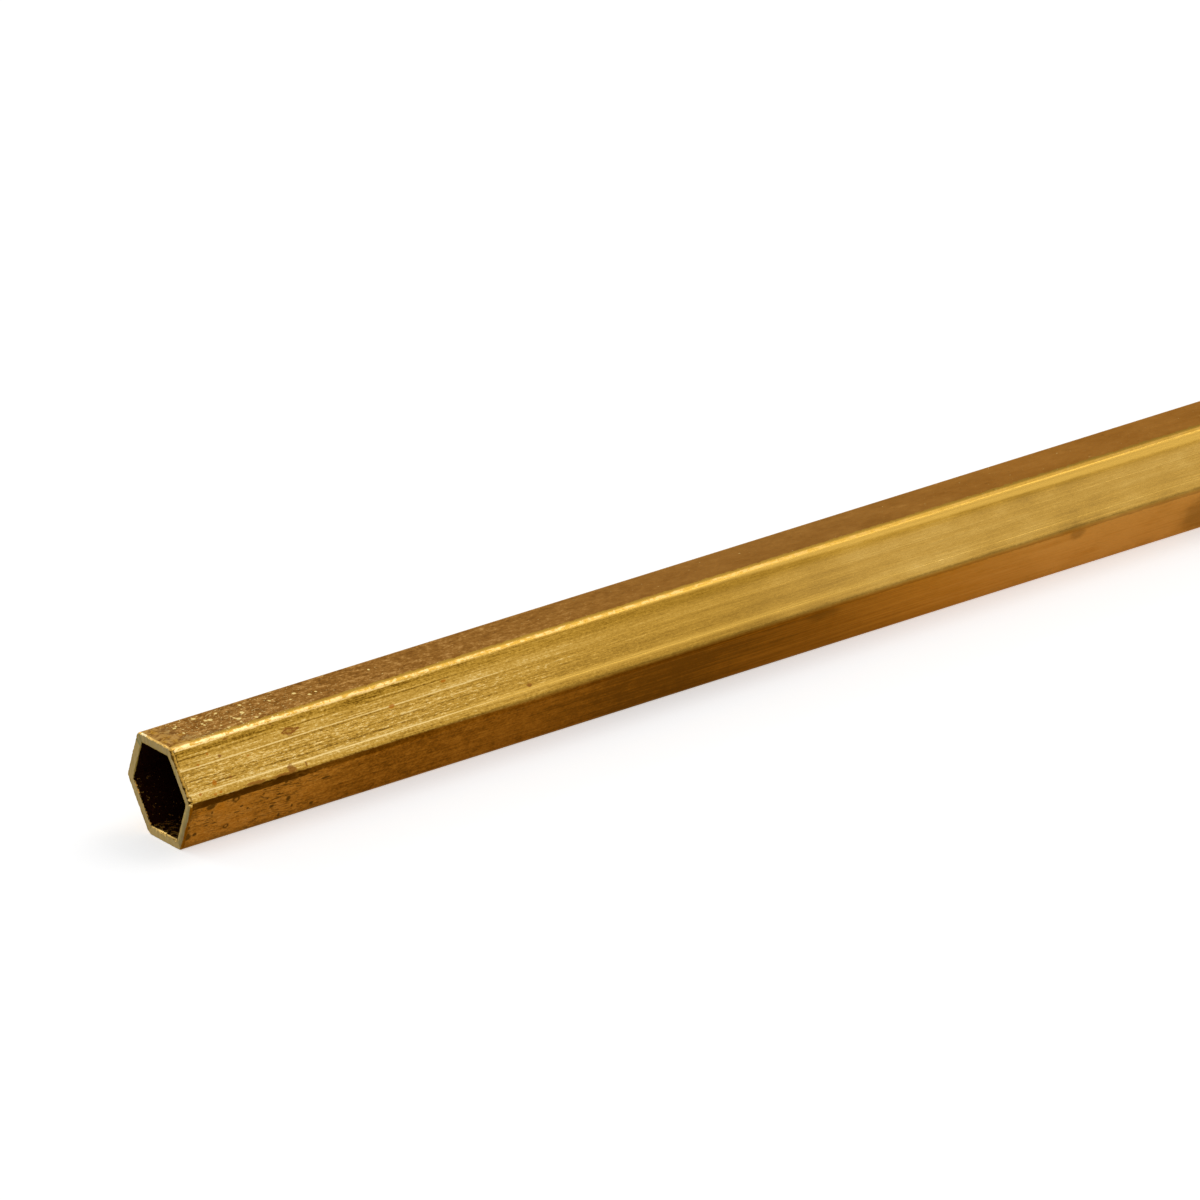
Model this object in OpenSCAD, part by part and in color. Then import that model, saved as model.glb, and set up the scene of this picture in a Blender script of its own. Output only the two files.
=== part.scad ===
// Hexagonal brass tube: one straight length of cold-drawn thin-wall stock.
// The tube lies along X on one of its flats, with the floor at z = 0.
// The origin is on the floor, under the middle of the tube.

/* [Section] */
// Outside size across two opposite flats
across_flats = 3.97; // [2.6:0.01:20]
// Wall thickness at the middle of a flat
wall = 0.38; // [0.25:0.01:0.6]
// Radius of the rounded corners outside
outer_corner_r = 0.35; // [0.2:0.01:0.5]
// Radius of the rounded corners of the bore
inner_corner_r = 0.12; // [0.1:0.01:0.4]

/* [Length] */
// Length of the cut piece
tube_length = 304.8; // [20:0.1:1000]

/* [Sawn ends] */
// Width of the edge taken off outside, at each end
outer_edge_break = 0.06; // [0.02:0.01:0.09]
// Width of the edge taken off the mouth of the bore, at each end
inner_edge_break = 0.05; // [0.02:0.01:0.08]

/* [Hidden] */
// Segments in a full turn of a round surface
$fn = 96;
// Corners are a sixth of a turn apart, and each flat faces halfway between two of them
sixth = 60;
half_sixth = sixth / 2;
corners = [0 : sixth : 300];
pairs_of_flats = [half_sixth : sixth : 150];
// Size of the bore across two opposite flats
bore_flats = across_flats - 2 * wall;
// How far a cutting form runs on past the surface that it has to clear
overrun = 0.3;

// Distance from the middle of a rounded hexagon to the centre of a corner arc, and to its tip
function arc_centre(flats, corner_r) = (flats / 2 - corner_r) / cos(half_sixth);
function corner_tip(flats, corner_r) = arc_centre(flats, corner_r) + corner_r;

// Drawn section. A bar as wide as the flat part of a side spans each pair of flats, and
// each corner arc starts exactly where the bars end, so it runs into them without a step.
module rounded_hexagon(flats, corner_r) {
    centre = arc_centre(flats, corner_r);
    for (angle = pairs_of_flats)
        rotate(angle)
            square([flats, centre], center = true);
    for (angle = corners)
        rotate(angle)
            translate([centre, 0])
                circle(r = corner_r);
}

// Half outline, as radius and height, of a form that tapers at 45 degrees at both ends.
// Its radius is face_r in the plane of the sawn face. From there inwards it grows where
// slope is 1, which bevels an outside edge, and shrinks where it is -1, which bevels a mouth.
function taper(face_r, slope, depth) = [
    [face_r - slope * overrun, -overrun],
    [face_r + slope * (depth + overrun), depth + overrun],
    [face_r + slope * (depth + overrun), tube_length - depth - overrun],
    [face_r - slope * overrun, tube_length + overrun],
];

// The other half of such an outline, in the order that closes it
function mirrored(outline) =
    [for (k = [len(outline) - 1 : -1 : 0]) [-outline[k].x, outline[k].y]];

// Tapered slabs across the three pairs of flats, in common: these bevel the flats
module flats_form(flats, slope, bevel) {
    outline = taper(flats / 2 - slope * bevel, slope, bevel);
    intersection_for (angle = pairs_of_flats)
        rotate([90, 0, angle])
            linear_extrude(height = 2 * flats, center = true)
                polygon(concat(outline, mirrored(outline)));
}

// Turned form on the tube's axis: this bevels the corners
module corners_form(flats, corner_r, slope, bevel) {
    outline = taper(corner_tip(flats, corner_r) - slope * bevel, slope, bevel);
    rotate_extrude()
        polygon(concat([[0, -overrun]], outline, [[0, tube_length + overrun]]));
}

module bevel_form(flats, corner_r, slope, bevel) {
    intersection() {
        flats_form(flats, slope, bevel);
        corners_form(flats, corner_r, slope, bevel);
    }
}

// Drawn and sawn stock, before its edges are broken, standing on one end
module sawn_tube() {
    linear_extrude(height = tube_length)
        difference() {
            rounded_hexagon(across_flats, outer_corner_r);
            rounded_hexagon(bore_flats, inner_corner_r);
        }
}

// The finished tube, laid down on one of its flats
module hex_tube() {
    color("goldenrod")
        translate([-tube_length / 2, 0, across_flats / 2])
            rotate([0, 90, 0])
                rotate([0, 0, half_sixth])
                    difference() {
                        intersection() {
                            sawn_tube();
                            bevel_form(across_flats, outer_corner_r, 1, outer_edge_break);
                        }
                        bevel_form(bore_flats, inner_corner_r, -1, inner_edge_break);
                    }
}

hex_tube();
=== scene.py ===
import math

import bpy
import numpy as np
from mathutils import Matrix, Vector


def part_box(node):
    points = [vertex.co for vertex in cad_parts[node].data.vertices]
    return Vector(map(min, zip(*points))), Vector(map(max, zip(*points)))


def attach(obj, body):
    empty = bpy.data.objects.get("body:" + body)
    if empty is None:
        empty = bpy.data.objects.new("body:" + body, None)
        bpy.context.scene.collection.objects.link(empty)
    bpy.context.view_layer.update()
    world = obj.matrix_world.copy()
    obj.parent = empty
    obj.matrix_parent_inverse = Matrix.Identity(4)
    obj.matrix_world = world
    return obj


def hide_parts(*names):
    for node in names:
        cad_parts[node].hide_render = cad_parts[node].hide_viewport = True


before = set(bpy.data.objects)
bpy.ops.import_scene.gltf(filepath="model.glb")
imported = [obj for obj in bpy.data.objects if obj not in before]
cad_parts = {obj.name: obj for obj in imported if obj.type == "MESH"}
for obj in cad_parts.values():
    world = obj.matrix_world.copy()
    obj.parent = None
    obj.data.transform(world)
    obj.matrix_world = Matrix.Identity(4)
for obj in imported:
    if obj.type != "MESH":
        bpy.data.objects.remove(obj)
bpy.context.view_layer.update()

# Blender works in metres. Every size below is in millimetres unless it says otherwise.
MM = 0.001

# Sizes of the section, as in the part's source
WALL = 0.38
OUTER_CORNER_R = 0.35
INNER_CORNER_R = 0.12
OUTER_BREAK = 0.06
INNER_BREAK = 0.05

low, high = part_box("hex_tube")
LENGTH = (high.x - low.x) / MM
FLATS = (high.z - low.z) / MM
BORE_FLATS = FLATS - 2 * WALL
SIXTH = math.pi / 3


def flat_half(flats, corner_r):
    """Half the width of the flat part of a side."""
    return (flats / 2 - corner_r) * math.tan(SIXTH / 2)


# Two coordinates name a place on the skin. `along` is the distance from the near sawn face.
# `around` runs round the section, from the middle of the bottom side over the back and the top
# to the front. A side is a flat with half of the corner arc at each end of it.
OUTER_HALF = flat_half(FLATS, OUTER_CORNER_R)
SIDE = 2 * OUTER_HALF + SIXTH * OUTER_CORNER_R
GIRTH = 6 * SIDE
BOTTOM, LOW_BACK, BACK, TOP, FRONT, LOW_FRONT = (SIDE * k for k in range(6))
SIDES = (BOTTOM, LOW_BACK, BACK, TOP, FRONT, LOW_FRONT)

# What the draw lines look like across the front side: (distance from its middle, tone), where
# a tone of 0 is a dark line, 0.5 is plain brass, 1 is a bright line and more is a crisp one
FRONT_LINES = [
    (-1.13, 0.95), (-1.03, 1.0), (-0.96, 0.9), (-0.925, 0.2), (-0.75, 0.18), (-0.7, 0.3),
    (-0.665, 0.52), (-0.635, 0.35), (-0.61, 0.03), (-0.585, 0.3), (-0.56, 0.62), (-0.5, 0.5),
    (-0.3, 0.52), (-0.25, 0.55), (-0.22, 1.5), (-0.195, 0.5), (-0.17, 0.24), (-0.13, 0.46),
    (0.02, 0.5), (0.06, 0.72), (0.1, 0.45), (0.18, 0.75), (0.215, 0.04), (0.25, 0.45),
    (0.35, 0.36), (0.42, 0.7), (0.49, 0.0), (0.53, 0.58), (0.67, 0.6), (0.7, 2.0),
    (0.73, 0.72), (0.93, 0.42),
]
# The same farther from the sawn end, where the lines are broader and softer
FRONT_SOFT_LINES = [
    (-1.1, 0.44), (-0.8, 0.4), (-0.72, 0.38), (-0.6, 0.39), (-0.5, 0.46), (-0.36, 0.57),
    (-0.2, 0.56), (-0.11, 0.43), (-0.04, 0.47), (0.06, 0.54), (0.15, 0.47), (0.25, 0.39),
    (0.38, 0.39), (0.5, 0.46), (0.58, 0.5), (0.78, 0.5), (0.87, 0.4), (1.1, 0.36),
]

# Random draw lines: where they start and end across a side, half the width of one, and at how
# many stops no more are added, since a colour ramp holds 32 at most
FIRST_LINE, LAST_LINE = -1.1, 1.05
HALF_LINE = 0.03
MOST_STOPS = 28
LINE_SEED = 40


def random_lines(seed):
    """Draw lines for a side that the photograph doesn't show closely."""
    rng = np.random.default_rng(seed)
    lines, place = [], FIRST_LINE
    while place < LAST_LINE and len(lines) < MOST_STOPS:
        if rng.random() < 0.3:
            tone = rng.choice([0.08, 0.2, 0.85, 0.98])
            lines += [(place - HALF_LINE, 0.5), (place, tone), (place + HALF_LINE, 0.5)]
        else:
            lines.append((place, rng.uniform(0.4, 0.62)))
        place += rng.uniform(0.08, 0.2)
    return [(float(a), float(b)) for a, b in lines]


LINES = {side: random_lines(LINE_SEED + k) for k, side in enumerate(SIDES)}
LINES[FRONT] = FRONT_LINES


# Mesh of the tube

def section_point(flats, corner_r, across):
    """Points and outward normals on a rounded hexagon. across is a place on the tube's outer
    skin, as `around` is, and the same share of each flat and arc is taken on any hexagon."""
    side = np.round(across / SIDE)
    local = across - side * SIDE
    bend = np.maximum(np.abs(local) - OUTER_HALF, 0) / OUTER_CORNER_R * np.sign(local)
    half = flat_half(flats, corner_r)
    along_flat = np.clip(local / OUTER_HALF, -1, 1) * half
    facing = -math.pi / 2 + side * SIXTH
    turned = facing + bend
    out = np.stack([np.cos(facing), np.sin(facing)], -1)
    across_way = np.stack([-np.sin(facing), np.cos(facing)], -1)
    normal = np.stack([np.cos(turned), np.sin(turned)], -1)
    core = out * (flats / 2 - corner_r) + across_way * along_flat[..., None]
    return core + normal * corner_r, normal


# Each octave of a wave is a few sines, and weighs this share of the one before it. Their sum
# is stretched, since the sines seldom peak together
OCTAVES = 3
OCTAVE_SINES = 3
OCTAVE_WEIGHT = 0.6
WAVE_STRETCH = 1.6


def waves(seed, where, wavelength):
    """Smooth random wave along one axis, from about -1 to 1: a few sines of random phase."""
    rng = np.random.default_rng(seed)
    total = np.zeros_like(where, dtype=float)
    weight_sum = 0.0
    for octave in range(OCTAVES):
        for _ in range(OCTAVE_SINES):
            weight = OCTAVE_WEIGHT ** octave
            step = wavelength / 2 ** octave * rng.uniform(0.75, 1.35)
            total += weight * np.sin(where / step * 2 * math.pi + rng.uniform(0, 2 * math.pi))
            weight_sum += weight
    return total / weight_sum * WAVE_STRETCH


def ring_waves(seed, count):
    """The same around the section, so that it closes on itself."""
    rng = np.random.default_rng(seed)
    turn = column_across / GIRTH * 2 * math.pi
    total = np.zeros(COLUMNS)
    for k in range(1, count + 1):
        total += rng.normal() * np.cos(k * turn + rng.uniform(0, 2 * math.pi))
    return total / math.sqrt(count / 2)


def spaced(start, first, growth, stop, widest):
    """Stations from start to stop. Their steps grow from first to widest."""
    places, step = [start], first
    while places[-1] + step < stop:
        places.append(places[-1] + step)
        step = min(step * growth, widest)
    return places


COLUMNS = 384
column_across = np.arange(COLUMNS) * GIRTH / COLUMNS
outer_ring, outward = section_point(FLATS, OUTER_CORNER_R, column_across)
inner_ring, _ = section_point(BORE_FLATS, INNER_CORNER_R, column_across)

SKIN, EDGE, CUT, BORE = range(4)

# The sawn face lies this far below the highest burr on its edges
FACE_DEPTH = 0.012
SAW_RELIEF = 0.004
SAW_PITCH = 0.5

# Loops of a sawn end: turns round a broken edge as shares of a quarter circle, rows across the
# face, and the share of the wall that is left between those rows and the edges
EDGE_TURNS = (0.0, 0.35, 0.7, 1.0)
FACE_ROWS = 8
FACE_MARGIN = 0.04

# Chips near the front's lower corner: distance from the middle of the front, and half width
CHIP_PLACE, CHIP_WIDTH = 0.98, 0.16

# Stations that are counted from the near end stop at the first of these, and those that are
# counted from the far end at the second
NEAR_STOP = LENGTH - 12
FAR_STOP = 10

# Heights of the skin's relief, how far a draw line wanders, and the bore's roughness
LINE_RELIEF = 0.008
WAVE_RELIEF = 0.001
MOST_RELIEF = 0.012
LINE_WANDER = 0.008
BORE_RELIEF = 0.01
# The skin has no relief nearer to its ends than this
PLAIN_END = 0.09

# Seeds of the two sawn ends, of the relief by side, and of the waves of the skin and the bore
NEAR_END_SEED, FAR_END_SEED = 11, 71
WANDER_SEED, FADE_SEED = 200, 300
WAVE_SEED, BORE_SEED = 3, 31


def from_middle(side):
    """Distance of each column from the middle of that side, the shorter way round."""
    return (column_across - side + GIRTH / 2) % GIRTH - GIRTH / 2


def near_side(side, soft=0.12):
    """1 at the columns on that side, 0 elsewhere."""
    return np.clip((SIDE / 2 - np.abs(from_middle(side))) / soft + 0.5, 0, 1)


def outer_edge(seed):
    """Width of the broken outer edge by column, and the share of the burr's height there."""
    rough = 0.55 * ring_waves(seed, 24) + 0.45 * ring_waves(seed + 1, 110)
    chipped = np.exp(-((column_across - FRONT - CHIP_PLACE) / CHIP_WIDTH) ** 2)
    worn = 0.45 + 1.2 * near_side(FRONT) + 0.6 * near_side(LOW_FRONT) + 0.5 * near_side(TOP)
    worn = worn + 0.35 * chipped
    width = OUTER_BREAK * worn * np.clip(1 + 0.4 * rough, 0.45, 1.7)
    burr = np.clip(0.4 + 0.6 * ring_waves(seed + 4, 70), 0, 1)
    return width, burr


def inner_edge(seed):
    """The same at the mouth of the bore, where the low back side is torn."""
    teeth = np.clip(0.5 * ring_waves(seed + 2, 60) + 0.8 * ring_waves(seed + 3, 180), -1, 1.8)
    ragged = 0.25 + 1.0 * near_side(LOW_BACK) + 0.6 * near_side(BOTTOM) + 0.15 * near_side(BACK)
    wide = 0.7 + 0.5 * near_side(BOTTOM)
    width = INNER_BREAK * wide * np.clip(1 + ragged * teeth, 0.3, 2.4)
    burr = np.clip(0.3 + 0.6 * ring_waves(seed + 5, 90), 0, 1)
    return width, burr


def end_loops(seed):
    """Loops of one sawn end, from the outer skin over the face into the bore, as
    (depth below the end, share of the way through the wall, zone of the strip that follows)."""
    outer_break, outer_burr = outer_edge(seed)
    inner_break, inner_burr = inner_edge(seed)
    loops = []
    for turn in EDGE_TURNS:
        angle = turn * math.pi / 2
        rim = FACE_DEPTH * (1 - outer_burr * turn)
        depth = outer_break * (1 - math.sin(angle)) + rim
        inward = outer_break * (1 - math.cos(angle)) / WALL
        loops.append((depth, inward, EDGE if turn < 1 else CUT))
    first, last = outer_break / WALL + FACE_MARGIN, 1 - inner_break / WALL - FACE_MARGIN
    for k in range(FACE_ROWS + 1):
        share = k / FACE_ROWS
        inward = first * (1 - share) + last * share
        y = outer_ring[:, 0] * (1 - inward) + inner_ring[:, 0] * inward
        saw = SAW_RELIEF * waves(seed + 6, y, SAW_PITCH).clip(-1, 1)
        loops.append((FACE_DEPTH + saw, inward, CUT))
    for turn in EDGE_TURNS:
        angle = turn * math.pi / 2
        rim = FACE_DEPTH * (1 - inner_burr * (1 - turn))
        depth = inner_break * (1 - math.cos(angle)) + rim
        inward = 1 - inner_break * (1 - math.sin(angle)) / WALL
        loops.append((depth, inward, EDGE if turn < 1 else BORE))
    return loops


def tube_loops():
    """All loops of the closed skin: (place along, share through the wall, zone that follows)."""
    loops = end_loops(NEAR_END_SEED)
    near = spaced(start=0.14, first=0.06, growth=1.22, stop=NEAR_STOP, widest=9.0)
    far = spaced(start=0.14, first=0.2, growth=1.5, stop=FAR_STOP, widest=4.0)
    loops += [(x, 1.0, BORE) for x in near + [LENGTH - x for x in reversed(far)]]

    far_end = end_loops(FAR_END_SEED)
    zones = [SKIN] + [zone for _, _, zone in far_end]
    for (depth, inward, _), zone_before in reversed(list(zip(far_end, zones))):
        loops.append((LENGTH - depth, inward, zone_before))

    near = spaced(start=0.1, first=0.06, growth=1.07, stop=NEAR_STOP, widest=4.0)
    far = spaced(start=0.1, first=0.12, growth=1.35, stop=FAR_STOP, widest=3.0)
    loops += [(x, 0.0, SKIN) for x in [LENGTH - x for x in far] + list(reversed(near))]
    return loops


def skin_relief(x):
    """Depth of the skin below the true section: the die's lines, and shallow waves."""
    depth = np.zeros_like(x)
    for k, side in enumerate(SIDES):
        local = from_middle(side)
        places, tones = zip(*LINES[side])
        wander = LINE_WANDER * waves(WANDER_SEED + k, x, 40)
        tone = np.interp(local + wander, places, tones)
        fade = 0.75 + 0.25 * waves(FADE_SEED + k, x, 25)
        depth += np.where(np.abs(local) < OUTER_HALF, (1 - tone) * fade * LINE_RELIEF, 0)
    shallow = (1 + waves(WAVE_SEED, x + 3 * column_across, 9)).clip(0, 2)
    return depth.clip(0, MOST_RELIEF) + WAVE_RELIEF * shallow


def tube_places(x, inward):
    """Place of each point, in metres, with the relief of the skin and of the bore."""
    section = outer_ring * (1 - inward[..., None]) + inner_ring * inward[..., None]
    on_skin = (inward[:, 0] == 0) & (x[:, 0] > PLAIN_END) & (x[:, 0] < LENGTH - PLAIN_END)
    section[on_skin] -= skin_relief(x[on_skin])[..., None] * outward
    in_bore = inward.min(1) == 1.0
    rough = 0.5 + 0.5 * waves(BORE_SEED, x[in_bore] + 0.35 * np.sin(column_across * 7), 0.7)
    section[in_bore] += BORE_RELIEF * rough.clip(0, 1)[..., None] * outward
    places = np.concatenate([x[..., None], section], -1).reshape(-1, 3)
    return places * MM + np.array([low.x, (low.y + high.y) / 2, (low.z + high.z) / 2])


def add_attribute(mesh, name, domain, values):
    made = mesh.attributes.new(name, "FLOAT", domain)
    made.data.foreach_set("value", values.reshape(-1).astype(np.float32))


def tube_mesh():
    """The closed skin. Its materials read the attributes `around` and `inward`."""
    loops = tube_loops()
    count = len(loops)
    x = np.array([np.broadcast_to(place, COLUMNS) for place, _, _ in loops])
    inward = np.array([np.broadcast_to(share, COLUMNS) for _, share, _ in loops])
    zones = np.array([zone for _, _, zone in loops])

    row, column = np.meshgrid(np.arange(count), np.arange(COLUMNS), indexing="ij")
    next_row, next_column = (row + 1) % count, (column + 1) % COLUMNS
    faces = np.stack([
        row * COLUMNS + column,
        row * COLUMNS + next_column,
        next_row * COLUMNS + next_column,
        next_row * COLUMNS + column,
    ], -1).reshape(-1, 4)
    mesh = bpy.data.meshes.new("hex_tube_skin")
    mesh.from_pydata(tube_places(x, inward).tolist(), [], faces.tolist())
    mesh.polygons.foreach_set("material_index", zones[row].reshape(-1).astype(np.int32))
    mesh.polygons.foreach_set("use_smooth", np.ones(len(faces), bool))

    first = column * (GIRTH / COLUMNS)
    last = first + GIRTH / COLUMNS
    add_attribute(mesh, "around", "CORNER", np.stack([first, last, last, first], -1))
    add_attribute(mesh, "inward", "POINT", inward)
    mesh.update()
    mesh.validate()
    return mesh


# Materials

def srgb(red, green, blue):
    """A colour written as the screen shows it, from 0 to 255, in the shader's linear values."""
    def linear(value):
        value /= 255
        return value / 12.92 if value <= 0.04045 else ((value + 0.055) / 1.055) ** 2.4
    return linear(red), linear(green), linear(blue), 1.0


class Wire:
    """A socket's value that can be added, multiplied and so on, each adding a Math node."""

    def __init__(self, shader, socket):
        self.shader, self.socket = shader, socket

    def __add__(self, other):
        return self.shader.math("ADD", self, other)

    def __sub__(self, other):
        return self.shader.math("SUBTRACT", self, other)

    def __mul__(self, other):
        return self.shader.math("MULTIPLY", self, other)

    def __rsub__(self, other):
        return self.shader.math("SUBTRACT", other, self)

    __radd__, __rmul__ = __add__, __mul__

    def most(self, other):
        return self.shader.math("MAXIMUM", self, other)

    def least(self, other):
        return self.shader.math("MINIMUM", self, other)

    def size(self):
        return self.shader.math("ABSOLUTE", self, 0.0)


class Shader:
    """One material, with short calls that add its nodes."""

    def __init__(self, name):
        self.material = bpy.data.materials.new(name)
        self.material.use_nodes = True
        self.tree = self.material.node_tree
        self.surface = self.tree.nodes["Principled BSDF"]
        self.place = self.node("ShaderNodeTexCoord").outputs["Object"]
        split = self.node("ShaderNodeSeparateXYZ")
        self.tree.links.new(self.place, split.inputs[0])
        self.along = Wire(self, split.outputs["X"]) * (1 / MM) + LENGTH / 2
        self.around = self.attribute("around")
        self.inward = self.attribute("inward")

    def attribute(self, name):
        return Wire(self, self.node("ShaderNodeAttribute", attribute_name=name).outputs["Fac"])

    def node(self, kind, **settings):
        made = self.tree.nodes.new(kind)
        for key, value in settings.items():
            setattr(made, key, value)
        return made

    def join(self, value, socket):
        if isinstance(value, Wire):
            self.tree.links.new(value.socket, socket)
        else:
            socket.default_value = value

    def set(self, **values):
        """Gives the surface's own sockets their values. A name's underscores are spaces there."""
        for name, value in values.items():
            self.join(value, self.surface.inputs[name.replace("_", " ")])

    def math(self, operation, first, second):
        made = self.node("ShaderNodeMath", operation=operation)
        self.join(first, made.inputs[0])
        self.join(second, made.inputs[1])
        return Wire(self, made.outputs[0])

    def smooth(self, value, start, stop):
        """0 before start and 1 past stop, with a soft step. It falls where start > stop."""
        made = self.node("ShaderNodeMapRange", interpolation_type="SMOOTHSTEP")
        self.join(value, made.inputs["Value"])
        rising = start < stop
        made.inputs["From Min"].default_value = min(start, stop)
        made.inputs["From Max"].default_value = max(start, stop)
        made.inputs["To Min"].default_value = 0.0 if rising else 1.0
        made.inputs["To Max"].default_value = 1.0 if rising else 0.0
        return Wire(self, made.outputs["Result"])

    def window(self, value, start, stop, soft):
        rise = self.smooth(value, start - soft, start + soft)
        return rise * self.smooth(value, stop + soft, stop - soft)

    def across(self, side):
        """Distance from the middle of that side, in the direction of `around`."""
        if side == BOTTOM:
            past_half = self.smooth(self.around, GIRTH / 2 - 0.01, GIRTH / 2 + 0.01)
            return self.around - past_half * GIRTH
        return self.around - side

    def on_side(self, side, soft=0.02):
        return self.smooth(self.across(side).size(), SIDE / 2 + soft, SIDE / 2 - soft)

    def noise(self, per_mm, seed, detail=2.0, roughness=0.5, slant=0.0):
        """Noise with that many features to a millimetre: (along, across), or (along, y, z).
        It is taken in space, so it runs round the section with no seam. slant is in radians,
        and a negative one makes the features fall away from the near end."""
        place = self.place
        if slant:
            turned = self.node("ShaderNodeVectorRotate", rotation_type="Y_AXIS")
            self.tree.links.new(place, turned.inputs["Vector"])
            turned.inputs["Angle"].default_value = slant
            place = turned.outputs["Vector"]
        mapping = self.node("ShaderNodeMapping")
        self.tree.links.new(place, mapping.inputs["Vector"])
        scales = tuple(per_mm) if len(per_mm) == 3 else (per_mm[0], per_mm[1], per_mm[1])
        mapping.inputs["Scale"].default_value = tuple(v / MM for v in scales)
        mapping.inputs["Location"].default_value = (seed * 7.31, seed * 3.17, seed * 5.53)
        made = self.node("ShaderNodeTexNoise")
        self.tree.links.new(mapping.outputs["Vector"], made.inputs["Vector"])
        made.inputs["Scale"].default_value = 1.0
        made.inputs["Detail"].default_value = detail
        made.inputs["Roughness"].default_value = roughness
        return Wire(self, made.outputs["Fac"])

    def ramp(self, value, stops):
        """Colour or tone at value, which runs from 0 to 1: stops are (value, colour or tone)."""
        made = self.node("ShaderNodeValToRGB")
        points = made.color_ramp.elements
        while len(points) < len(stops):
            points.new(0.5)
        for point, (place, colour) in zip(points, stops):
            point.position = place
            point.color = colour if isinstance(colour, tuple) else (colour, colour, colour, 1)
        self.join(value, made.inputs["Fac"])
        return Wire(self, made.outputs["Color"])

    def draw_lines(self, side, lines):
        """Tone of those draw lines across that side."""
        local = self.across(side) * (1 / SIDE) + 0.5
        return self.ramp(local, [(place / SIDE + 0.5, tone) for place, tone in lines])

    def tone_along(self, stops):
        """Tone by the place along the tube: stops are (along, tone), as far as BANDS_END."""
        return self.ramp(self.along * (1 / BANDS_END), [(a / BANDS_END, tone) for a, tone in stops])

    def reach(self, side, blots):
        """How far a place is from the nearest of the blots, where 1 is that blot's edge.
        blots are (along, distance from the side's middle, half length, half width)."""
        join = self.node("ShaderNodeCombineXYZ")
        self.join(self.along, join.inputs[0])
        self.join(self.across(side), join.inputs[1])
        nearest = None
        for along, across, half_length, half_width in blots:
            scaled = self.node("ShaderNodeVectorMath", operation="MULTIPLY_ADD")
            self.tree.links.new(join.outputs[0], scaled.inputs[0])
            scaled.inputs[1].default_value = (1 / half_length, 1 / half_width, 0)
            scaled.inputs[2].default_value = (-along / half_length, -across / half_width, 0)
            length = self.node("ShaderNodeVectorMath", operation="LENGTH")
            self.tree.links.new(scaled.outputs[0], length.inputs[0])
            distance = Wire(self, length.outputs["Value"])
            nearest = distance if nearest is None else nearest.least(distance)
        return nearest

    def blots(self, side, blots, ragged, sharp=0.25):
        """1 inside the blots. ragged is a wire that roughens their edges."""
        return self.smooth(self.reach(side, blots) + ragged, 1 + sharp, 1 - sharp)

    def mix(self, share, first, second):
        made = self.node("ShaderNodeMix", data_type="RGBA")
        self.join(share, made.inputs[0])
        self.join(first, made.inputs[6])
        self.join(second, made.inputs[7])
        return Wire(self, made.outputs[2])

    def bump(self, height_mm):
        """Relief whose height is given in millimetres."""
        made = self.node("ShaderNodeBump")
        made.inputs["Distance"].default_value = MM
        self.join(height_mm, made.inputs["Height"])
        return Wire(self, made.outputs["Normal"])


# Colours from dark to bright: clean drawn brass, and the brown films that cover parts of it
BRASS = [
    (0.0, srgb(122, 84, 16)),
    (0.2, srgb(163, 120, 36)),
    (0.5, srgb(200, 153, 57)),
    (0.75, srgb(221, 177, 84)),
    (1.0, srgb(250, 216, 140)),
]
TAN_FILM = [
    (0.1, srgb(110, 62, 12)),
    (0.38, srgb(143, 91, 32)),
    (0.6, srgb(163, 111, 48)),
    (0.85, srgb(202, 154, 88)),
]
# Umber film on the sides that face down, painted lighter than its own colour: painted light that
# offsets their shade
UMBER_FILM_LIGHTENED = [
    (0.1, srgb(99, 53, 0)),
    (0.25, srgb(132, 77, 8)),
    (0.5, srgb(168, 108, 29)),
    (0.8, srgb(188, 131, 56)),
]
# Pale bare brass of the streaks on the corner between the top and the front, also a painted
# highlight there
WORN_HIGHLIGHT = srgb(232, 194, 136)
WORN_DULL = srgb(178, 138, 54)
WORN_FAR = srgb(146, 111, 42)
# Gold of a painted highlight that spreads below the corner between the top and the front, and of a
# golden line lower on the front
RUBBED_AND_SHEEN_GOLD = srgb(234, 186, 84)
GOLD_PATCH = srgb(206, 154, 44)
GREY_PATCH = srgb(156, 134, 92)
HAZY_BRASS = srgb(212, 172, 102)
# Bare specks, painted near white as glints
FLECK_GLINT = srgb(252, 228, 156)
PALE_WORN = srgb(204, 162, 90)
GRAZING_TINT = (0.95, 0.8, 0.55, 1.0)
ORANGE_FILM = srgb(188, 112, 0)
RUST = srgb(184, 110, 22)
STAIN = srgb(148, 94, 34)
# Dark brown: dust and soot, and painted shade in the strip below the front's lower corner
SOOT_AND_SHADE = srgb(70, 37, 0)
CUT_LIGHT = srgb(184, 156, 86)
CUT_PALE = srgb(158, 131, 64)
CUT_DARK = srgb(128, 106, 46)
CUT_GREEN = srgb(104, 96, 34)
CUT_BROWN = srgb(122, 82, 16)
# Pale burr, also painted bright as a highlight on the edges
BURR_AND_GLINT = srgb(238, 198, 116)
BURR_PLAIN = srgb(122, 101, 48)
BURR_BRASS = srgb(204, 156, 66)
# Painted shade along the front's outer edge
BURR_SHADE = srgb(84, 58, 12)
BURR_UMBER = srgb(112, 62, 0)
BURR_WARM = srgb(182, 134, 62)
# Near white, a painted glint
GLINT_WHITE = srgb(250, 228, 176)
# Near black, painted shade in notches and between torn teeth
NOTCH_SHADE = srgb(24, 12, 2)
BORE_DARK = srgb(70, 26, 3)
BORE_SPECK = srgb(250, 190, 84)

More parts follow.
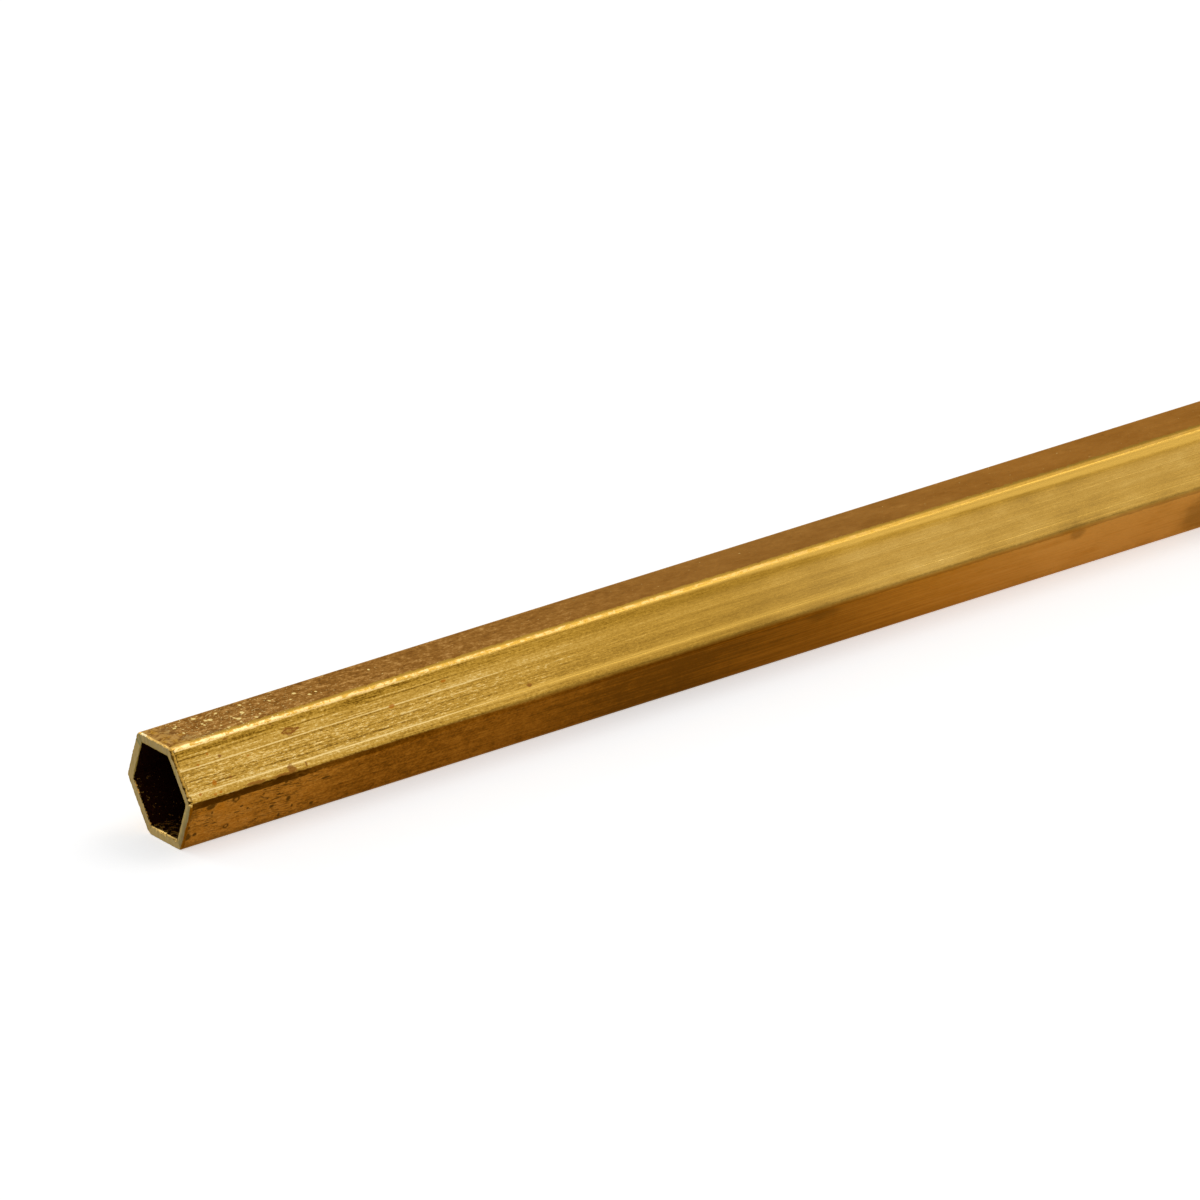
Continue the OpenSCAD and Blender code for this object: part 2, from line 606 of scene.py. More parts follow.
# Slow changes of tone along the front, and of depth in the umber film: (along, tone). A colour
# ramp for them runs from the near end to BANDS_END
BANDS_END = 60
FRONT_BANDS = [
    (0, 0.55), (13, 0.55), (19, 0.45), (24, 0.43), (29, 0.6), (34, 0.55), (38, 0.47),
    (43, 0.6), (50, 0.5),
]
UMBER_BANDS = [
    (0, 0.5), (4.5, 0.48), (7.5, 0.26), (14, 0.24), (21, 0.1), (26, 0.27), (31, 0.44),
    (37, 0.72), (41, 0.8), (50, 0.5),
]

# Marks that the photograph shows: (along, distance from the side's middle, half length,
# half width). First those on the top
# Pale specks on the top: bare brass, painted bright as glints
TOP_FLECKS = [
    (2.07, -0.72, 0.09, 0.1), (1.12, -0.4, 0.07, 0.08), (1.25, -0.52, 0.04, 0.07),
    (2.92, -0.57, 0.05, 0.08), (2.32, -0.27, 0.06, 0.1), (2.47, -0.2, 0.1, 0.12),
    (2.06, -0.05, 0.05, 0.09), (2.08, 0.1, 0.06, 0.06), (1.13, 0.23, 0.04, 0.08),
    (3.98, -0.66, 0.06, 0.1), (3.67, 0.02, 0.08, 0.12), (3.2, 0.27, 0.05, 0.1),
    (3.28, 0.47, 0.12, 0.1), (3.2, 0.8, 0.05, 0.09), (2.5, 0.55, 0.05, 0.06),
    (2.6, 0.92, 0.06, 0.07), (3.83, 0.78, 0.06, 0.08), (4.08, 0.62, 0.05, 0.07),
    (4.98, -0.25, 0.05, 0.1), (5.98, -0.22, 0.08, 0.1), (6.35, 0.28, 0.07, 0.09),
    (6.65, 0.2, 0.05, 0.08), (5.6, 0.2, 0.05, 0.06), (9.15, -0.25, 0.05, 0.08),
]
TOP_GOLD = [
    (0.45, 0.1, 0.14, 0.3), (0.55, 0.65, 0.16, 0.25), (0.35, -0.6, 0.12, 0.25),
    (0.2, 0.45, 0.1, 0.2), (1.0, 0.25, 0.12, 0.12), (0.7, 0.95, 0.3, 0.08),
]
TOP_GREY = [
    (1.0, 0.72, 0.3, 0.2), (1.95, 0.93, 0.3, 0.1), (0.8, -0.35, 0.25, 0.3),
    (2.5, 0.95, 0.15, 0.07), (3.3, 0.95, 0.2, 0.07), (1.25, 0.95, 0.2, 0.08),
]
# Those on the front
FRONT_RUST = [
    (1.22, 0.51, 0.09, 0.1), (1.33, -0.55, 0.05, 0.05), (2.83, -0.06, 0.06, 0.03),
    (0.53, 0.76, 0.06, 0.05), (0.84, -0.27, 0.06, 0.04), (1.1, 0.92, 0.07, 0.04),
    (1.33, 0.9, 0.06, 0.04), (8.9, -0.2, 0.12, 0.07), (11.2, -0.52, 0.1, 0.05),
]
FRONT_STAINS = [
    (1.76, -0.35, 0.08, 0.06), (1.9, 0.48, 0.05, 0.05), (2.2, -0.88, 0.12, 0.03),
    (4.08, -0.9, 0.05, 0.04), (4.28, 0.88, 0.18, 0.16), (4.9, 0.86, 0.04, 0.12),
    (2.8, 0.95, 0.45, 0.06), (3.9, 0.97, 0.4, 0.05), (14.4, 0.56, 0.1, 0.06),
]
FRONT_RING = [(4.7, -0.47, 0.23, 0.14), (4.5, -0.47, 0.13, 0.06), (4.93, -0.47, 0.15, 0.05)]
# Those on the low front side
LOW_FRONT_SOOT = [
    (0.9, -0.93, 0.19, 0.17), (1.9, -0.9, 0.16, 0.22), (4.0, -1.0, 0.08, 0.1),
    (3.6, 0.19, 0.1, 0.09), (4.27, 0.02, 0.09, 0.13), (0.15, 0.43, 0.12, 0.18),
    (0.42, 0.43, 0.1, 0.1), (1.73, 0.48, 0.13, 0.13), (0.98, -0.52, 0.05, 0.1),
    (0.05, -0.05, 0.14, 0.1), (5.7, -0.5, 0.2, 0.06), (4.0, 0.8, 0.06, 0.1),
    (3.1, -0.68, 0.05, 0.04), (2.23, -0.37, 0.07, 0.06), (2.52, -0.15, 0.06, 0.06),
    (3.33, -0.35, 0.05, 0.08), (3.8, -0.4, 0.05, 0.05), (2.07, -0.12, 0.12, 0.03),
    (3.0, 0.63, 0.05, 0.04), (5.35, 0.72, 0.08, 0.08), (4.5, 0.5, 0.05, 0.08),
]
LOW_FRONT_BARE = [(1.92, -0.86, 0.07, 0.08), (1.73, 0.48, 0.05, 0.06)]
LOW_FRONT_ORANGE = [(1.3, -0.65, 0.3, 0.25), (0.4, -0.75, 0.2, 0.12), (2.7, -0.85, 0.2, 0.12)]
LOW_FRONT_SMEARS = [(37.9, -0.95, 0.3, 0.35), (26.8, -0.9, 0.7, 0.35), (43.6, 0.25, 0.8, 0.9)]
# Those on the near end: painted glints and notches of painted shade on its outer edge, and green on
# the sawn face
EDGE_GLINTS = [(0.05, 0.84, 0.035, 0.04), (0.05, 1.05, 0.035, 0.028)]
EDGE_NOTCHES = [(0.04, 0.94, 0.1, 0.035), (0.03, 0.75, 0.05, 0.02), (0.02, 0.4, 0.04, 0.04)]
CORNER_GLINT = [(0.04, -0.74, 0.12, 0.17)]
GREEN_SPOTS = [(0.0, -1.1, 0.5, 0.07), (0.0, -1.45, 0.5, 0.06)]


class Skin(Shader):
    """The shader of the drawn skin, with the wires that several of its layers share."""

    def __init__(self):
        super().__init__("drawn_brass")

        # Streaks in the drawing direction, short dashes of pitting, fine grain, slow clouds
        self.streak = self.noise((0.22, 11), 2, 3, 0.6) - 0.5
        self.hair = self.noise((0.7, 26), 3, 2, 0.6) - 0.5
        self.dash = self.noise((2.6, 15), 7, 3, 0.65) - 0.5
        self.grain = self.noise((9, 14), 4, 2, 0.6) - 0.5
        self.mottle = self.noise((2.2, 3.2), 8, 4, 0.65) - 0.5
        self.cloud = self.noise((0.12, 0.35), 5, 4, 0.6) - 0.5
        self.patch = self.noise((0.05, 0.12), 6, 3, 0.55) - 0.5
        self.ragged = self.noise((7, 7), 9, 3, 0.6) - 0.5
        self.blotchy = (self.ragged + self.mottle) * 3

        # Detail softens along the stretch that the photograph shows, as it does there. It is
        # crisp past that stretch and on the sides that the photograph doesn't show
        self.beyond_view = self.smooth(self.along, 46, 60)
        seen = self.window(self.around, TOP - SIDE / 2, LOW_FRONT + SIDE / 2, 0.1)
        unseen = (1 - seen).most(self.beyond_view)
        self.crisp = (self.smooth(self.along, 26, 5) * 0.78 + 0.22).most(unseen * 0.85)
        self.dapple = (self.noise((0.5, 0.9), 19, 3, 0.6) - 0.5) * (1 - self.beyond_view)
        pitted_band = self.window(self.across(FRONT), -0.12, 0.62, 0.06)
        self.pitted = pitted_band * self.smooth(self.along, 26, 8)


def all_lines(s):
    """Tone of the draw lines, each side with its own."""
    lines = None
    for side in SIDES:
        part = s.draw_lines(side, LINES[side]) * s.on_side(side)
        lines = part if lines is None else lines + part
    return lines


def clean_brass(s, lines):
    """Drawn brass with its lines, streaks, pitting and slow changes of tone."""
    along, crisp, pitted = s.along, s.crisp, s.pitted
    ticks = s.smooth(s.noise((4.2, 24), 17, 3, 0.7), 0.53, 0.67)
    soft = s.smooth(along, 9, 17) * (1 - s.beyond_view) * s.on_side(FRONT)
    soft_lines = (s.draw_lines(FRONT, FRONT_SOFT_LINES) - 0.5) * soft
    tone = 0.5 + (lines - 0.5) * crisp * (0.95 - soft * 0.7)
    tone = tone + soft_lines * (1 - s.smooth(along, 24, 38) * 0.4)
    tone = tone + (s.tone_along(FRONT_BANDS) - 0.5) * 0.9 + s.cloud * 0.3
    tone = tone + s.dapple * s.smooth(along, 18, 28) * 0.7
    tone = tone + (s.streak * 0.6 + s.hair * 1.5 + s.grain * 1.3) * crisp
    tone = tone + (ticks * 0.75 - 0.1) * (pitted * 0.75 + 0.25) * crisp
    tone = tone + s.dash * (pitted * 0.4 + 0.2) * crisp
    haze = s.smooth(along, 21, 30) * (1 - s.beyond_view) * 0.18 + 0.08
    haze = haze * s.window(s.across(FRONT), -0.6, 1.1, 0.15)
    return s.mix(haze, s.ramp(tone, BRASS), HAZY_BRASS)


def film_share(s):
    """Share of brown film. It covers the top and the low front side, lies in patches on the
    other sides but the front, and is scraped off here and there past the photographed part."""
    later = s.smooth(s.along, 5, 15) * (1 - s.beyond_view)
    low_arc = s.across(FRONT) - 1.0 + s.ragged * 0.05
    low_arc = s.smooth(low_arc * (1 - later * 0.78), -0.003, 0.042)
    film = s.on_side(TOP, 0.03) + low_arc * s.smooth(s.across(LOW_FRONT), SIDE / 2, SIDE / 2 - 0.05)
    patches = s.patch + s.mottle * 0.3
    for side, start, stop in ((BACK, -0.02, 0.06), (LOW_BACK, 0.08, 0.14), (BOTTOM, -0.16, -0.06)):
        film = film + s.on_side(side) * s.smooth(patches, start, stop)
    scraped = s.smooth(s.cloud + s.patch + s.dash * 0.5, 0.17, 0.22) * s.smooth(s.along, 60, 110)
    return film * (1 - scraped)


def brown_films(s, film, clean):
    """Tan film on the upper sides, and umber film below, in bands of different depth. The umber is
    painted lighter, as painted light against the shade of the sides below.
    """
    along, crisp, beyond_view = s.along, s.crisp, s.beyond_view
    film_tone = 0.51 + (s.mottle * 1.7 + s.grain * 1.3 + s.ragged * 0.5) * crisp + s.cloud * 0.4
    film_tone = film_tone + s.dapple * s.smooth(along, 18, 28) * 0.35
    tan = s.ramp(film_tone, TAN_FILM)
    depth = s.tone_along(UMBER_BANDS) * (1 - beyond_view) + (0.45 + s.patch * 1.6) * beyond_view
    depth = depth + s.streak * 0.45 + s.cloud * 0.3 + (s.mottle * 0.6 + s.grain * 0.75) * crisp
    depth = depth + s.dapple * s.smooth(along, 34, 40) * 0.6
    umber = s.ramp(depth, UMBER_FILM_LIGHTENED)
    upper = s.window(s.around, BACK - SIDE / 2, FRONT, 0.1)
    colour = s.mix(film, clean, s.mix(upper, umber, tan))
    return s.mix(s.on_side(TOP) * s.smooth(along, 28, 38) * 0.17, colour, ORANGE_FILM)


def corner_arc(s):
    """Share of bare brass on the corner between the top and the front."""
    arc = s.smooth(s.across(TOP) + (s.ragged + s.mottle) * 0.22, 0.94, 1.02)
    return arc * s.smooth(s.across(FRONT), -0.965, -1.01) * (1 - s.beyond_view * 0.75)


def bare_corners_and_highlight(s, arc, colour):
    """Bare brass on the corner arcs, with pale streaks on the corner between the top and the front
    that are also a painted highlight, a painted gold highlight that spreads below that corner, and
    a golden line lower on the front.
    """
    along, ragged, mottle = s.along, s.ragged, s.mottle
    # Pale streaks on that corner: bare brass, and a painted highlight where the overhead lamp's
    # highlight falls, strongest near the sawn end
    bare = s.smooth(ragged * 1.5 + s.dash * 2.0 + mottle * 1.6 + s.streak * 0.8, -0.2, 0.16)
    bare = bare * (s.smooth(along, 6, 3) * 0.37 + s.smooth(along, 36, 8) * 0.56 + 0.05)
    bare = bare * s.smooth(s.across(TOP) + (ragged + mottle) * 0.12, 1.1, 1.17)
    dull = s.mix(s.smooth(along, 22, 42), WORN_DULL, WORN_FAR)
    colour = s.mix(arc, colour, s.mix(bare, dull, WORN_HIGHLIGHT))

    # Painted highlight: a gold glow below that corner on the front, which widens farther from the
    # sawn end
    spread = s.smooth(along, 14, 42) * 0.3
    painted_sheen = s.smooth(s.across(FRONT) - spread + mottle * 0.04, -0.93, -1.05)
    painted_sheen = painted_sheen * s.smooth(s.across(FRONT), -1.05, -0.98) * s.smooth(along, 8, 18)
    painted_sheen = painted_sheen * (1 - s.beyond_view) * 0.9
    low_line = s.window(s.across(FRONT) + mottle * 0.03, 0.62, 0.77, 0.06)
    low_line = low_line * s.smooth(along, 9, 15) * (0.75 - s.smooth(along, 18, 34) * 0.65)
    low_line = low_line * (1 - s.beyond_view)
    colour = s.mix(painted_sheen.most(low_line), colour, RUBBED_AND_SHEEN_GOLD)
    back_arc = s.window(s.across(TOP), -1.16, -0.98, 0.03)
    return s.mix(back_arc * 0.5, colour, PALE_WORN)


def worn_top(s, colour):
    """Pale, golden and grey patches on the top, next to the sawn end."""
    slanted = s.smooth(s.across(TOP), 0.3, 0.9) * 0.8
    worn = s.smooth(s.along - slanted + s.ragged * 2.0, 1.2, 0.3)
    worn = worn * s.on_side(TOP) * s.smooth(s.mottle * 1.4 + s.grain, -0.14, 0.1)
    colour = s.mix(worn * 0.75, colour, PALE_WORN)
    broken = s.smooth(s.ragged + s.grain, -0.12, 0.1)
    colour = s.mix(s.blots(TOP, TOP_GOLD, s.blotchy, 0.6) * broken * 0.6, colour, GOLD_PATCH)
    return s.mix(s.blots(TOP, TOP_GREY, s.blotchy, 0.6) * broken * 0.45, colour, GREY_PATCH)


def pale_fleck_glints(s):
    """Share of pale specks on the top, bare brass painted bright as glints, and of the golden rims
    round those that were placed.
    """
    few = (s.smooth(s.along, 12, 3) * s.smooth(s.along, 0.3, 1.2)).most(s.beyond_view * 0.5)
    sprinkle = s.smooth(s.noise((9, 11), 14, 2, 0.5) + few * 0.11, 0.71, 0.78)
    distance = s.reach(TOP, TOP_FLECKS) + s.ragged * 2.0
    rims = s.smooth(distance, 1.35, 0.8)
    fleck_glints = s.smooth(distance, 1.02, 0.66).most(sprinkle * s.on_side(TOP) * 0.75)
    return fleck_glints, rims


def spots(s, colour):
    """Dark dust on the top, and rust and stains on the front and past the photographed part."""
    dust = s.smooth(s.noise((5, 7), 16, 2, 0.5), 0.68, 0.76) * s.on_side(TOP) * 0.35
    colour = s.mix(dust, colour, SOOT_AND_SHADE)
    colour = s.mix(s.blots(FRONT, FRONT_RUST, s.ragged, 0.35) * 0.8, colour, RUST)
    colour = s.mix(s.blots(FRONT, FRONT_STAINS, s.ragged * 2.0, 0.35) * 0.9, colour, STAIN)
    ring = s.reach(FRONT, FRONT_RING) + (s.ragged + s.mottle) * 1.4
    ring_share = s.smooth(ring, 1.3, 0.9) * (1 - 0.65 * s.smooth(ring, 0.55, 0.3))
    colour = s.mix(ring_share, colour, STAIN)
    rusty = s.smooth(s.noise((0.5, 0.7), 12, 3, 0.6), 0.68, 0.71) * s.smooth(s.along, 50, 80)
    return s.mix(rusty * 0.7, colour, RUST)


def low_front_dirt_and_shade(s):
    """Share of dark colour: the dark strip below the front's lower corner, tarnish with painted
    shade where that corner turns from the light, and on the side below it specks, wisps, pores,
    a darker lower rim, the sawn end's own dirt and a few smears."""
    along, ragged, mottle = s.along, s.ragged, s.mottle
    # Tarnish and painted shade: the dark strip on the front's lower corner
    below = s.across(FRONT) + ragged * 0.08 + mottle * 0.1
    near_strip = s.smooth(along + ragged * 2, 6.0, 4.2)
    strip = s.smooth(below, 0.985, 1.045) * s.smooth(below - near_strip * 0.06, 1.24, 1.19)
    strip = strip * (near_strip * 0.3 + s.smooth(mottle + s.dash, -0.3, 0.1) * 0.2 + 0.53)
    strip = strip * (1 - s.smooth(along, 6.5, 11) * 0.5)
    specks = s.blots(LOW_FRONT, LOW_FRONT_SOOT, ragged * 1.2 + mottle * 1.2, 0.3)
    specks = specks * (1 - s.blots(LOW_FRONT, LOW_FRONT_BARE, ragged) * 0.75)
    wisps = s.smooth(s.noise((2.4, 17), 15, 4, 0.7, -0.2), 0.49, 0.61)
    wisps = wisps * s.smooth(s.noise((0.6, 1.2), 18, 2), 0.3, 0.6) * 0.8
    pores = s.smooth(s.noise((8, 12), 20, 2, 0.6, -0.2), 0.6, 0.7) * 0.55
    wisps = wisps.most(pores) * s.on_side(LOW_FRONT)
    wisps = wisps * (s.smooth(along, 9, 3) * 1.1 + 0.1).most(s.beyond_view * 0.6)
    low_rim = s.smooth(s.across(LOW_FRONT) + (mottle + ragged) * 0.8, 0.74, 0.94)
    low_rim = low_rim * (s.smooth(along, 9, 4) * 0.3 + 0.12)
    start = s.smooth(along + (ragged + mottle) * 1.2, 0.4, 0.0) * s.on_side(LOW_FRONT) * 0.6
    smears = s.blots(LOW_FRONT, LOW_FRONT_SMEARS, mottle, 0.5) * 0.35
    return strip.most(specks * 0.9).most(wisps).most(low_rim).most(start).most(smears)


def skin_material():
    """Drawn skin: clean brass under brown films, with bare corners, marks and dirt, painted
    highlights on a corner and on pale specks, and painted shade below the front.
    """
    s = Skin()
    lines = all_lines(s)
    colour = clean_brass(s, lines)
    film = film_share(s)
    colour = brown_films(s, film, colour)
    arc = corner_arc(s)
    colour = bare_corners_and_highlight(s, arc, colour)
    colour = worn_top(s, colour)
    fleck_glints, rims = pale_fleck_glints(s)
    colour = s.mix(rims * 0.6, colour, GOLD_PATCH)
    # Painted glints: the pale specks
    colour = s.mix(fleck_glints, colour, FLECK_GLINT)
    colour = spots(s, colour)
    orange = s.blots(LOW_FRONT, LOW_FRONT_ORANGE, s.blotchy, 0.6)
    colour = s.mix(orange * 0.25, colour, ORANGE_FILM)
    colour = s.mix(low_front_dirt_and_shade(s), colour, SOOT_AND_SHADE)

    s.set(Base_Color=colour, Metallic=1.0, Specular_Tint=GRAZING_TINT)
    s.set(Roughness=0.3 + s.grain * 0.3 + film * 0.16 - arc * 0.06)
    relief = lines * 0.0022 + s.streak * 0.005 + s.hair * 0.0025 + s.grain * 0.0035
    relief = relief + s.dash * (s.pitted * 0.008 + 0.003)
    relief = relief + fleck_glints * 0.012 + s.mottle * film * 0.004
    s.set(Normal=s.bump(relief))
    return s.material


def edge_material():
    """Broken edges of the sawn ends: pale burrs with painted highlights, dark and warm stretches,
    and painted shade in a line on the front, in notches and between torn teeth.
    """
    s = Shader("burred_brass")
    grain = s.noise((14, 14), 41, 3, 0.6) - 0.5
    coarse = s.noise((5, 5), 42, 2, 0.5) - 0.5
    inner = s.smooth(s.inward, 0.4, 0.6)

    # Outer edge: burr on the top, pale and painted bright as a highlight, and on the front worn
    # brass that ends in a line of painted shade
    burr = s.mix(s.smooth(grain + coarse * 0.6, -0.02, 0.1), BURR_AND_GLINT, BURR_BRASS)
    burr = s.mix(s.smooth(s.inward, 0.02, 0.09), PALE_WORN, burr)
    outer_colour = s.mix(s.on_side(TOP), BURR_PLAIN, burr)
    front_edge = s.mix(s.smooth(s.inward + grain * 0.3, 0.02, 0.18), BURR_BRASS, BURR_SHADE)
    outer_colour = s.mix(s.on_side(FRONT), outer_colour, front_edge)
    low_edge = s.mix(s.smooth(s.inward + grain * 0.8, 0.06, 0.2), BURR_UMBER, CUT_BROWN)
    outer_colour = s.mix(s.on_side(LOW_FRONT), outer_colour, low_edge)
    near = s.smooth(s.along, 1.0, 0.9)
    # Painted highlights: glints on the outer edge next to the near end
    bright = s.blots(FRONT, EDGE_GLINTS, grain * 3, 0.35) * near
    outer_colour = s.mix(bright, outer_colour, BURR_AND_GLINT)
    white = s.blots(TOP, CORNER_GLINT, grain, 0.2) * near
    outer_colour = s.mix(white, outer_colour, GLINT_WHITE)
    # Painted shade: near-black notches in the front's outer edge
    notch_shade = s.blots(FRONT, EDGE_NOTCHES, grain * 3, 0.4)
    outer_colour = s.mix(notch_shade * near * 0.9, outer_colour, NOTCH_SHADE)

    # Inner edge: pale and painted bright as a highlight along the bottom, torn and warm on the low
    # back side, with painted shade between the torn teeth
    warm = s.on_side(LOW_BACK) + s.smooth(grain + coarse, 0.0, 0.1) * 0.6
    torn = s.mix(s.smooth(grain + coarse * 0.5, -0.02, 0.04), BURR_WARM, NOTCH_SHADE)
    inner_colour = s.mix(s.smooth(warm, 0.3, 0.8), BURR_AND_GLINT, torn)
    inner_colour = s.mix(s.on_side(BOTTOM).most(s.on_side(LOW_BACK)), BURR_PLAIN, inner_colour)
    s.set(Base_Color=s.mix(inner, outer_colour, inner_colour), Metallic=1.0, Roughness=0.3)
    s.set(Specular_Tint=GRAZING_TINT)
    s.set(Normal=s.bump(grain * 0.012))
    return s.material


def cut_material():
    """Sawn faces: pale, with fine upright saw streaks and a few greenish patches. The face of the
    bottom wall is painted paler, as painted light.
    """
    s = Shader("sawn_brass")
    streaks = s.noise((1, 30, 1.2), 21, 2) - 0.5
    broad = s.noise((1, 7, 0.8), 22, 2) - 0.5
    patches = s.noise((1.5, 1.5), 23, 3, 0.6) - 0.5
    tone = 0.5 + streaks * 2.1 + broad * 1.0 + patches * 0.7
    colour = s.mix(s.smooth(tone, 0.15, 0.7), CUT_DARK, CUT_PALE)
    green = s.smooth(patches + streaks * 0.4, 0.1, 0.2) * 0.5
    near_corner = s.window(s.around, TOP - SIDE / 2 - 0.35, TOP - SIDE / 2 + 0.1, 0.1)
    green = green.most(near_corner * s.smooth(streaks + patches, -0.12, 0.06) * 0.7)
    low_front = s.on_side(LOW_FRONT, 0.1)
    inner_part = s.smooth(s.inward + patches * 0.4, 0.6, 0.9)
    colour = s.mix(low_front * inner_part * 0.6, colour, CUT_LIGHT)
    green = green.most(low_front * s.smooth(s.inward + streaks * 0.6, 0.8, 0.3) * 0.7)
    green = green.most(s.blots(TOP, GREEN_SPOTS, patches, 0.4))
    colour = s.mix(green, colour, CUT_GREEN)
    brown = low_front * s.smooth(s.inward + patches * 1.2 + streaks * 0.5, 0.5, 0.15)
    colour = s.mix(brown * 0.7, colour, CUT_BROWN)
    # Painted light: the bottom wall's face paler, against the floor's shade that it mirrors
    colour = s.mix(s.on_side(BOTTOM) * 0.4, colour, CUT_LIGHT)
    colour = s.mix(s.on_side(TOP) * 0.5, colour, CUT_DARK)
    s.set(Base_Color=colour, Metallic=1.0, Roughness=0.4)
    s.set(Normal=s.bump(streaks * 0.004 + broad * 0.004))
    return s.material


def bore_material():
    """Inside of the tube: a dark oxide, with bare specks near the mouths."""
    s = Shader("bore_brass")
    grain = s.noise((7, 8), 31, 3, 0.7) - 0.5
    from_end = s.along.least(LENGTH - s.along)
    near_mouth = s.smooth(from_end, 2.6, 0.1)
    low_side = s.on_side(BOTTOM) * 0.14 + s.on_side(LOW_BACK) * 0.04
    specks = s.smooth(grain + near_mouth * (0.05 + low_side), 0.18, 0.28)
    s.set(Base_Color=s.mix(specks, BORE_DARK, BORE_SPECK), Metallic=0.9, Roughness=0.36)
    s.set(Normal=s.bump(grain * 0.02))
    return s.material


def make_tube():
    tube = bpy.data.objects.new("hex_tube_skin", tube_mesh())
    bpy.context.scene.collection.objects.link(tube)
    for material in (skin_material(), edge_material(), cut_material(), bore_material()):
        tube.data.materials.append(material)
    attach(tube, "root")
    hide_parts("hex_tube")


# Camera, solved from the outlines of the sawn end and of the tube in the photograph.
# The picture is 1200 pixels square, and the middle of the near end falls on END_PIXEL.
PICTURE = 1200
END_PIXEL = (159.1, 791.2)
PIXELS_PER_MM = 28.0
CAMERA_DISTANCE = 600.0
AZIMUTH, ELEVATION, ROLL = (math.radians(v) for v in (-29.6, 21.1, -5.8))
SENSOR = 36.0


def make_camera():
    back = Vector((
        math.sin(AZIMUTH) * math.cos(ELEVATION),
        -math.cos(AZIMUTH) * math.cos(ELEVATION),
        math.sin(ELEVATION),
    ))
    level = Vector((math.cos(AZIMUTH), math.sin(AZIMUTH), 0))
    upright = back.cross(level)
    right = level * math.cos(ROLL) + upright * math.sin(ROLL)
    up = upright * math.cos(ROLL) - level * math.sin(ROLL)
    near_end = Vector((-LENGTH / 2, 0, FLATS / 2))
    aside = (END_PIXEL[0] - PICTURE / 2) / PIXELS_PER_MM
    above = (PICTURE / 2 - END_PIXEL[1]) / PIXELS_PER_MM
    place = (near_end - right * aside - up * above + back * CAMERA_DISTANCE) * MM
    data = bpy.data.cameras.new("camera")
    data.sensor_width = SENSOR
    data.lens = PIXELS_PER_MM * CAMERA_DISTANCE / PICTURE * SENSOR
    camera = bpy.data.objects.new("camera", data)
    bpy.context.scene.collection.objects.link(camera)
    turn = Matrix((right, up, back)).transposed()
    camera.matrix_world = Matrix.Translation(place) @ turn.to_4x4()
    bpy.context.scene.camera = camera


# Lights and floor, in metres

def make_lamp(name, towards, distance, size, radiance):
    """A soft box that faces the middle of the tube from that direction."""
    towards = Vector(towards).normalized()
    data = bpy.data.lights.new(name, "AREA")
    data.shape = "RECTANGLE"
    data.size, data.size_y = size
    data.energy = radiance * math.pi * size[0] * size[1]
    lamp = bpy.data.objects.new(name, data)
    bpy.context.scene.collection.objects.link(lamp)
    lamp.location = towards * distance
    level = Vector((1, 0, 0))
    side = towards.cross(level).normalized()
    turn = Matrix((side.cross(towards), side, towards)).transposed()
    lamp.rotation_euler = turn.to_euler()
    lamp.visible_camera = False


def light_path(tree, *names):
    """1 for the kinds of ray that are named."""
    path = tree.nodes.new("ShaderNodeLightPath")
    total = path.outputs[names[0]]
    for name in names[1:]:
        made = tree.nodes.new("ShaderNodeMath")
        made.operation = "MAXIMUM"
        tree.links.new(total, made.inputs[0])
        tree.links.new(path.outputs[name], made.inputs[1])
        total = made.outputs[0]
    return total


def mapped(tree, value, from_range, to_range):
    made = tree.nodes.new("ShaderNodeMapRange")
    tree.links.new(value, made.inputs["Value"])
    for name, number in zip(("From Min", "From Max", "To Min", "To Max"), from_range + to_range):
        if isinstance(number, float):
            made.inputs[name].default_value = number
        else:
            tree.links.new(number, made.inputs[name])
    return made.outputs["Result"]


AMBIENT = 0.45
HORIZON, ZENITH = 0.55, 1.15


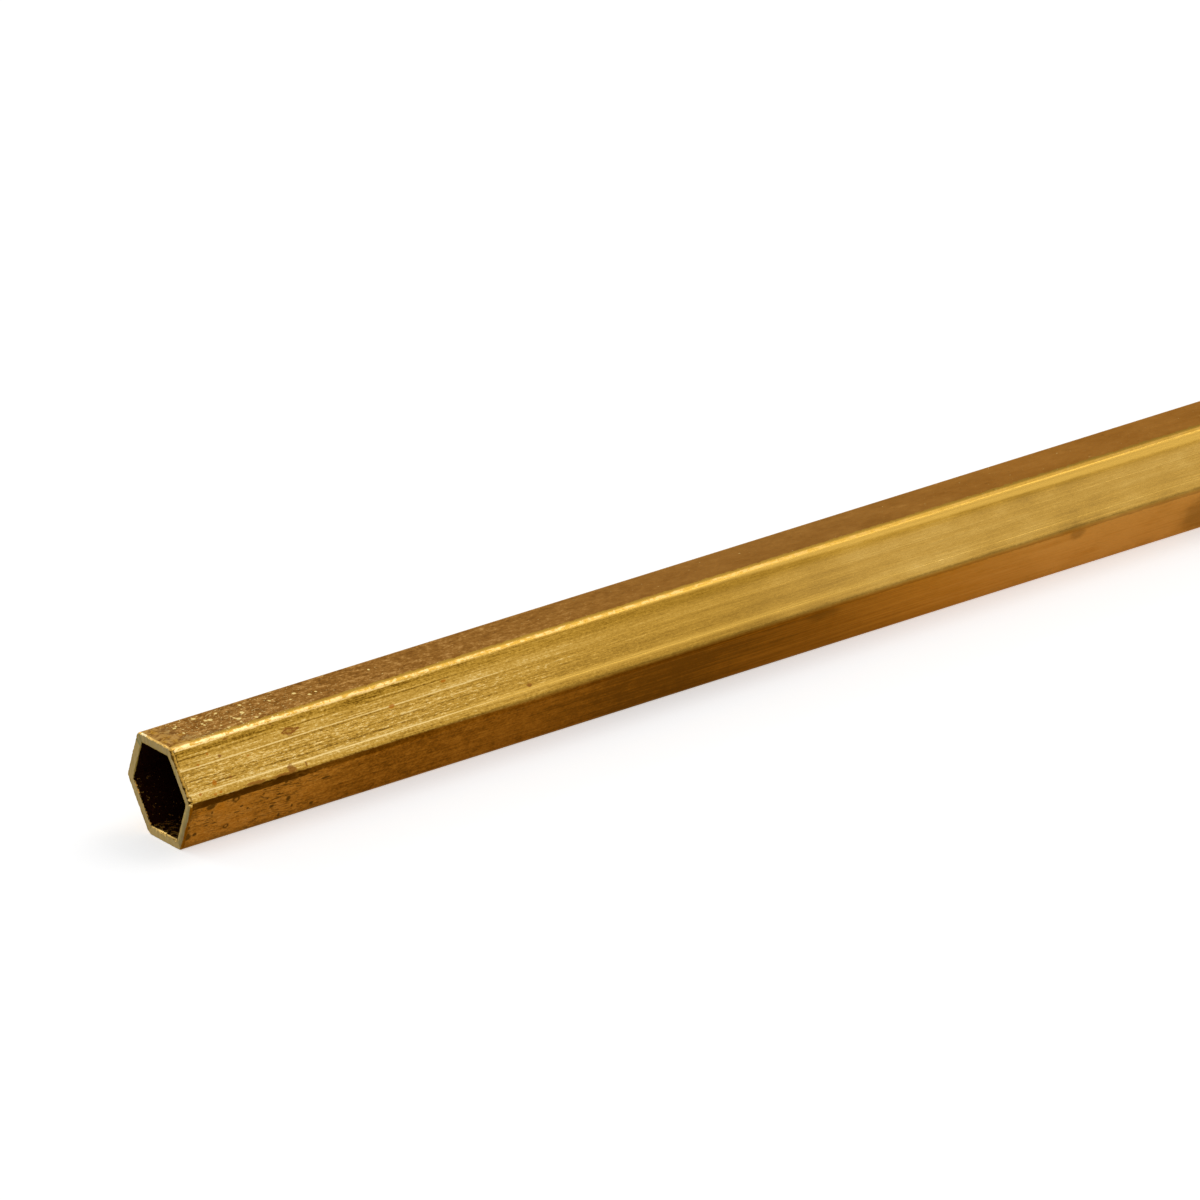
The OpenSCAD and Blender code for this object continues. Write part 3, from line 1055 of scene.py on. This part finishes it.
def make_world():
    """White to the camera. Metal mirrors it a little darker near the horizon than overhead."""
    world = bpy.data.worlds.new("studio")
    world.use_nodes = True
    tree = world.node_tree
    background = tree.nodes["Background"]
    background.inputs["Color"].default_value = (1, 1, 1, 1)
    split = tree.nodes.new("ShaderNodeSeparateXYZ")
    coordinates = tree.nodes.new("ShaderNodeTexCoord")
    tree.links.new(coordinates.outputs["Generated"], split.inputs[0])
    mirrored = mapped(tree, split.outputs["Z"], (0.0, 1.0), (HORIZON, ZENITH))
    in_metal = light_path(tree, "Is Glossy Ray", "Is Transmission Ray")
    strength = mapped(tree, in_metal, (0.0, 1.0), (AMBIENT, mirrored))
    seen = light_path(tree, "Is Camera Ray")
    strength = mapped(tree, seen, (0.0, 1.0), (strength, 1.0))
    tree.links.new(strength, background.inputs["Strength"])
    bpy.context.scene.world = world


FLOOR_SIZE = 8.0
FLOOR_COLOUR = 0.86
FLOOR_GLOW = 0.55


def make_floor():
    bpy.ops.mesh.primitive_plane_add(size=FLOOR_SIZE)
    floor = bpy.context.object
    floor.name = "floor"
    material = bpy.data.materials.new("pale_floor")
    material.use_nodes = True
    tree = material.node_tree
    surface = tree.nodes["Principled BSDF"]
    surface.inputs["Roughness"].default_value = 1.0
    surface.inputs["Specular IOR Level"].default_value = 0.0
    surface.inputs["Base Color"].default_value = (FLOOR_COLOUR, FLOOR_COLOUR, FLOOR_COLOUR, 1)
    surface.inputs["Emission Color"].default_value = (1, 1, 1, 1)
    seen = light_path(tree, "Is Camera Ray", "Is Glossy Ray", "Is Transmission Ray")
    glow = mapped(tree, seen, (0.0, 1.0), (0.0, FLOOR_GLOW))
    tree.links.new(glow, surface.inputs["Emission Strength"])
    floor.data.materials.append(material)


# Soft boxes: (name, direction from the tube, distance, width and depth, radiance)
LAMPS = [
    ("overhead", (0.461, -0.153, 0.874), 0.9, (0.5, 0.73), 1.2),
    ("back_left", (-0.36, 0.81, 0.46), 1.0, (0.3, 0.3), 2.5),
]

make_tube()
make_camera()
make_world()
make_floor()
for lamp in LAMPS:
    make_lamp(*lamp)

bpy.context.scene.view_settings.view_transform = "Standard"
